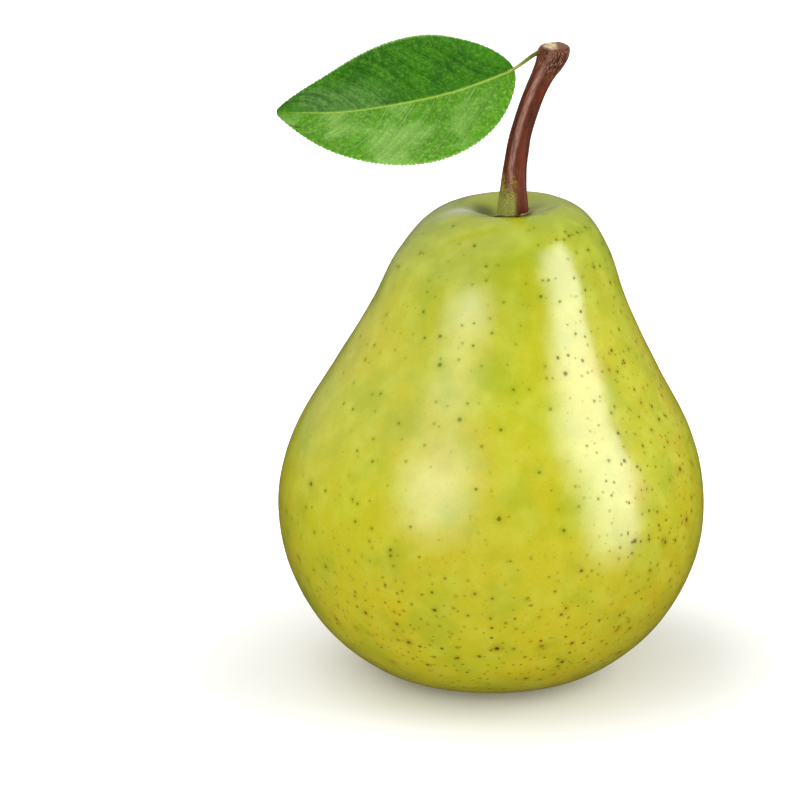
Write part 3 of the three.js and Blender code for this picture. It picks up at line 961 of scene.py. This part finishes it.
def makeStalk():
    bent = bentLine(stalk["line"], stalk["rings"])
    length = np.linalg.norm(np.diff(bent[0], axis=0), axis=1).sum()
    share = np.linspace(0, 1, stalk["rings"])[:, None]
    angle = np.linspace(0, 2 * np.pi, stalk["sides"], endpoint=False)[None, :]
    thickened = 0.2 * ease(share, 0.8, 1.0) + 0.25 * ease(share, 0.2, 0.0)  # at both ends
    radius = stalk["radius"] * (0.7 + 0.3 * share + thickened)
    gutter = 0.1 * bump(np.cos(angle + 0.6), 1, 0.4) * ease(share, 0.9, 0.4)
    radius = radius * (1 - gutter + 0.03 * np.cos(5 * angle + 2 * share))
    straight = unbentPlaces(radius, share * length + 0 * angle)
    radius = radius + 0.02 * roughness(straight, (0.3, 0.3, 1.2), 3, 4.4)
    rings = rodRings(bent, radius, 0 * radius)
    points, faces = closedTube(rings, bent[0][0], bent[0][-1])
    ends = [[0, 0, 0], [0, 0, length]]
    wrapped = wrappedPlaces(stalk["radius"], straight[..., 2])
    vectors = {"unbent": np.vstack([straight.reshape(-1, 3), ends]) * mm,
               "wrapped": np.vstack([wrapped.reshape(-1, 3), ends]) * mm}
    piece = makePiece("leaf_stalk_skin", points, faces, stalkMaterial(), None, vectors)
    settle(piece, "leaf_stalk")


makeStalk()
print("stalk grown")


calyx = {
    "sepals": 5,
    "sepalLine": [(1.5, 4.5), (2.5, 4.1), (3.1, 3.2), (3.0, 2.4), (2.3, 2.0)],  # radius, height
    "sepalHalfWidth": 0.95,
    "sepalThickness": 0.2,
    "sepalSteps": (40, 15),  # along and across
    "stamens": 14,
    "stamenRadius": 0.085,
    "stamenSteps": (16, 8),  # along and round
    "discRadius": 2.3,
    "discSteps": (24, 60),  # along and round
    "colours": {"brown": "#4a3320", "pale": "#8c7450", "dark": "#22170e"},
}


def calyxMaterial():
    colours = paints(calyx)
    material, tree, shader = newMaterial("driedCalyx", {"Roughness": 0.85})
    place = addNode(tree, "TexCoord").outputs["Object"]
    patch = patches(tree, place, 0.9, 4.0, 0.4, 0.62)
    fuzz = patches(tree, place, 0.16, 3.0, 0.42, 0.64)
    tone = blendPaint(tree, patch, colours["brown"], colours["dark"])
    tone = cover(tree, tone, fuzz, 0.6, colours["pale"])
    tree.links.new(tone, shader.inputs["Base Color"])
    addRelief(tree, shader, fuzz, 0.7, 0.06)
    return material


def sepalShape(turn, chance):
    along, across = calyx["sepalSteps"]
    line = smoothLine(calyx["sepalLine"], np.linspace(0, 1, along))
    share = np.linspace(0, 1, along)[:, None]
    reach = np.linspace(-1, 1, across)[None, :] * calyx["sepalHalfWidth"]
    reach = reach * (1 - share**1.6) * (0.55 + 1.6 * share)
    reach = reach / (1 + 0.35 * share)
    curl = chance * share**2
    radius = line[:, :1] - 0.35 * reach**2 - 0.45 * curl
    height = line[:, 1:] + 0.12 * np.cos(5 * share + turn * 3) * share + 0.3 * curl + 0 * reach
    angle = turn + reach / 2.6 + 0.22 * chance * share
    middle = np.stack([radius * np.cos(angle), radius * np.sin(angle), height], axis=-1)
    out = normalsOf(np.pad(middle, ((0, 0), (1, 1), (0, 0)), mode="reflect", reflect_type="odd"))[:, 1:-1]
    wrinkle = 0.05 * roughness(middle, 0.4, 3, 5.5)[..., None]
    half = calyx["sepalThickness"] / 2 * (1 - 0.6 * share)[..., None]
    return closedSheet(middle + out * (half + wrinkle), middle - out * (half - wrinkle))


def stamenShape(turn, chance):
    start, bend = 0.9 + 0.35 * chance, 0.55 * chance
    tip = (start + 1.3 * bend - 0.1, 2.6 + 0.3 * chance)
    middle = [(start, 4.45), (start + 0.25, 3.8), (start + bend, 3.1), tip]
    across, aside = math.cos(turn), math.sin(turn)
    path = [(r * across, r * aside + 0.15 * k * chance, z) for k, (r, z) in enumerate(middle)]
    steps, sides = calyx["stamenSteps"]
    bent = bentLine(path, steps)
    head = ease(np.linspace(0, 1, steps), 0.8, 0.95)[:, None]
    radius = calyx["stamenRadius"] * (1 + 0.9 * head) + np.zeros((steps, sides))
    return closedTube(rodRings(bent, radius, 0 * radius), bent[0][0], bent[0][-1])


def discShape():
    steps, sides = calyx["discSteps"]
    outer = calyx["discRadius"]
    line = smoothLine([(0.7 * outer, 4.68), (outer, 4.45), (1.6, 4.3), (0.5, 4.4)], np.linspace(0, 1, steps))
    angle = np.linspace(0, 2 * np.pi, sides, endpoint=False)
    radius, height = line[:, :1], line[:, 1:]
    rings = np.stack([radius * np.cos(angle), radius * np.sin(angle), height + 0 * angle], axis=-1)
    rings[..., 2] += 0.06 * roughness(rings, 0.5, 3, 9.1)
    return closedTube(rings, rings[0].mean(axis=0), rings[-1].mean(axis=0))


def makeCalyx():
    random = np.random.default_rng(5)
    shapes = [discShape()]
    for k in range(calyx["sepals"]):
        turn = 2 * math.pi * k / calyx["sepals"] + random.uniform(-0.12, 0.12)
        shapes.append(sepalShape(turn, random.uniform(0, 1)))
    for k in range(calyx["stamens"]):
        turn = 2 * math.pi * (k + random.uniform(-0.3, 0.3)) / calyx["stamens"]
        shapes.append(stamenShape(turn, random.uniform(-0.6, 1)))
    points, faces = joinShapes(shapes)
    settle(makePiece("dried_calyx", points, faces, calyxMaterial()), "calyx")


makeCalyx()
print("calyx grown")


studio = {
    "elevation": 15,
    "distance": 620,
    "aim": (-15.7, 0, 48.5),
    "lens": 161,
    "floor": 6000,
    "floorGlow": 0.1,
    "floorLifts": [(0.028, 0.1, 0.42), (0.3, 1.6, 0.7)],  # from and to in metres, how much paler
    "sideTone": (0.13, 0.13, 0.12, 1),
    "frontTone": (0.03, 0.03, 0.03, 1),
    "skyTone": (0.4, 0.4, 0.4, 1),
    "underTone": (0.07, 0.06, 0.03, 1),
    "skyWay": (-0.3, 0.53, 0.79),  # the bright part of the room is above and behind
    "lightAim": 45,
    # azimuth, elevation, distance, width, height, strength, and how far in it dims from its left, right,
    # lower and upper edge, as shares of its size
    "glossy": {
        "tall box right": (66, 14, 800, 720, 1560, 9.5, (0.5, 0.2, 0.5, 0.25)),
        "wide box left": (-35, 24, 900, 1050, 1150, 7, (0.5, 0.5, 0.5, 0.5)),
    },
    "fills": {  # these light the pear without showing in its gloss
        "fill above": (-10, 58, 1000, 1300, 1300, 1.7, (0.1, 0.1, 0.1, 0.1)),
        "fill front": (0, 8, 1000, 1300, 1300, 3.1, (0.1, 0.1, 0.1, 0.1)),
        "fill right": (118, 18, 1000, 1300, 1300, 4.6, (0.1, 0.1, 0.1, 0.1)),
        "fill left": (-85, 55, 1000, 1300, 1300, 4.4, (0.1, 0.1, 0.1, 0.1)),
    },
}


def pointOut(azimuth, elevation):  # azimuth 0 is the front, -Y, and 90 is +X
    a, e = math.radians(azimuth), math.radians(elevation)
    return Vector((math.sin(a) * math.cos(e), -math.cos(a) * math.cos(e), math.sin(e)))


def makeCamera():
    lens = bpy.data.cameras.new("camera")
    lens.lens = studio["lens"]
    lens.clip_end = 20
    camera = bpy.data.objects.new("camera", lens)
    bpy.context.scene.collection.objects.link(camera)
    back = pointOut(0, studio["elevation"])
    camera.location = (Vector(studio["aim"]) + back * studio["distance"]) * mm
    camera.rotation_euler = (-back).to_track_quat("-Z", "Y").to_euler()
    bpy.context.scene.camera = camera


def softBox(name, azimuth, elevation, distance, width, height, strength, fade):
    lamp = bpy.data.lights.new(name, "AREA")
    lamp.shape = "RECTANGLE"
    lamp.size = width * mm
    lamp.size_y = height * mm
    lamp.energy = strength * width * height * mm * mm
    light = bpy.data.objects.new(name, lamp)
    bpy.context.scene.collection.objects.link(light)
    out = pointOut(azimuth, elevation)
    light.location = Vector((0, 0, studio["lightAim"] * mm)) + out * distance * mm
    light.rotation_euler = out.to_track_quat("Z", "Y").to_euler()
    light.visible_camera = False
    lamp.use_nodes = True
    tree = lamp.node_tree
    place = addNode(tree, "NewGeometry").outputs["Parametric"]
    spot = addNode(tree, "SeparateXYZ", {"Vector": place}).outputs
    left, right, lower, upper = fade
    edges = (("X", 0.0, left), ("X", 1.0, 1 - right), ("Y", 0.0, lower), ("Y", 1.0, 1 - upper))
    dimmed = times(tree, *[between(tree, spot[way], edge, inside) for way, edge, inside in edges])
    tree.links.new(dimmed, tree.nodes["Emission"].inputs["Strength"])
    return light


def makeFloor():
    mesh = bpy.data.meshes.new("floor")
    half = studio["floor"] * mm / 2
    corners = [(-half, -half, 0), (half, -half, 0), (half, half, 0), (-half, half, 0)]
    mesh.from_pydata(corners, [], [(0, 1, 2, 3)])
    finish = {"Base Color": paint("#f4f4f4"), "Roughness": 0.7, "Specular IOR Level": 0.2,
              "Emission Color": (1, 1, 1, 1)}
    material, tree, shader = newMaterial("paleFloor", finish)
    place = addNode(tree, "TexCoord").outputs["Object"]
    away = addNode(tree, "VectorMath", {0: place}, operation="LENGTH").outputs["Value"]
    near, far = (between(tree, away, start, full, 0.0, lift) for start, full, lift in studio["floorLifts"])
    seen = addNode(tree, "LightPath").outputs["Is Camera Ray"]
    glow = plus(tree, times(tree, plus(tree, near, far), seen), studio["floorGlow"])
    tree.links.new(glow, shader.inputs["Emission Strength"])
    mesh.materials.append(material)
    floor = bpy.data.objects.new("floor", mesh)
    bpy.context.scene.collection.objects.link(floor)
    floor.visible_glossy = False


def makeWorld():
    world = bpy.data.worlds.new("white room")
    bpy.context.scene.world = world
    world.use_nodes = True
    tree = world.node_tree
    sky = tree.nodes["Background"]
    way = addNode(tree, "TexCoord").outputs["Generated"]
    upwards = addNode(tree, "VectorMath", {0: way, 1: studio["skyWay"]}, operation="DOT_PRODUCT")
    upwards = upwards.outputs["Value"]
    parts = addNode(tree, "SeparateXYZ", {"Vector": way}).outputs
    tone = blendPaint(tree, between(tree, parts["Y"], 0.1, -0.8), studio["sideTone"], studio["frontTone"])
    tone = blendPaint(tree, between(tree, upwards, 0.3, 1.0), tone, studio["skyTone"])
    tone = blendPaint(tree, between(tree, parts["Z"], 0.05, -0.15), tone, studio["underTone"])
    seen = addNode(tree, "LightPath").outputs["Is Camera Ray"]
    tone = blendPaint(tree, seen, tone, (1, 1, 1, 1))
    tree.links.new(tone, sky.inputs["Color"])


makeCamera()
makeFloor()
makeWorld()
for name, settings in studio["glossy"].items():
    softBox(name, *settings)
for name, settings in studio["fills"].items():
    softBox(name, *settings).visible_glossy = False
bpy.context.scene.view_settings.view_transform = "Standard"
print("studio set")
